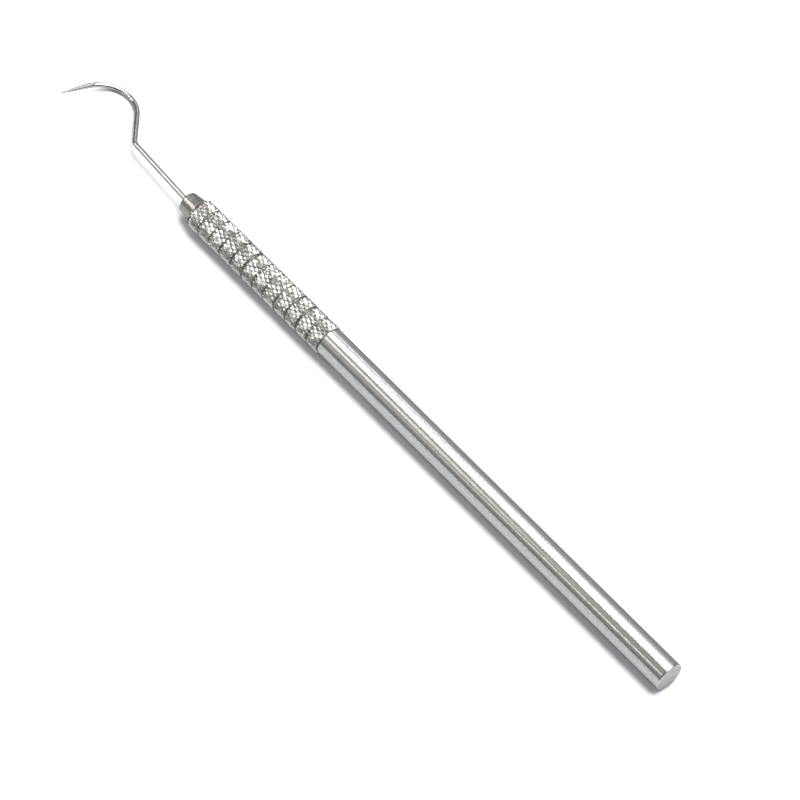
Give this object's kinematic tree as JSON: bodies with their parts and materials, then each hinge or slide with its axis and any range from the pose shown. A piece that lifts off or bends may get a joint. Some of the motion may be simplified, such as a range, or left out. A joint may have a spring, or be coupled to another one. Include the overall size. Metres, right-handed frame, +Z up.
{
  "type": "dental explorer",
  "caption": "Single-ended dental explorer: a hollow round steel handle with a knurled grip, a short nose cone and a fine wire bent to a shepherd's hook with a ground point.",
  "frame": {"origin": "on the surface the instrument lies on, under the middle of its box", "axes": "+X along the handle's axis towards the tail, the hook points to -X; +Z up, off the surface; the crook lies to the +Y side"},
  "size_m": [0.17, 0.0118, 0.0064],
  "materials": {
    "polished_steel": "bright polished stainless steel with fine lengthwise marks; the grip is knurled",
    "satin_steel": "satin turned stainless steel",
    "wire_steel": "drawn and polished hard stainless wire, finely ground at the point",
    "braze": "silver brazing alloy, polished flush"
  },
  "bodies": {
    "root": {"handle_tube": "polished_steel", "nose_cone": "satin_steel", "working_end": "wire_steel", "tail_plug": "satin_steel", "tang_braze": "braze", "nose_braze": "braze", "tail_braze": "braze"}
  },
  "joints": []
}
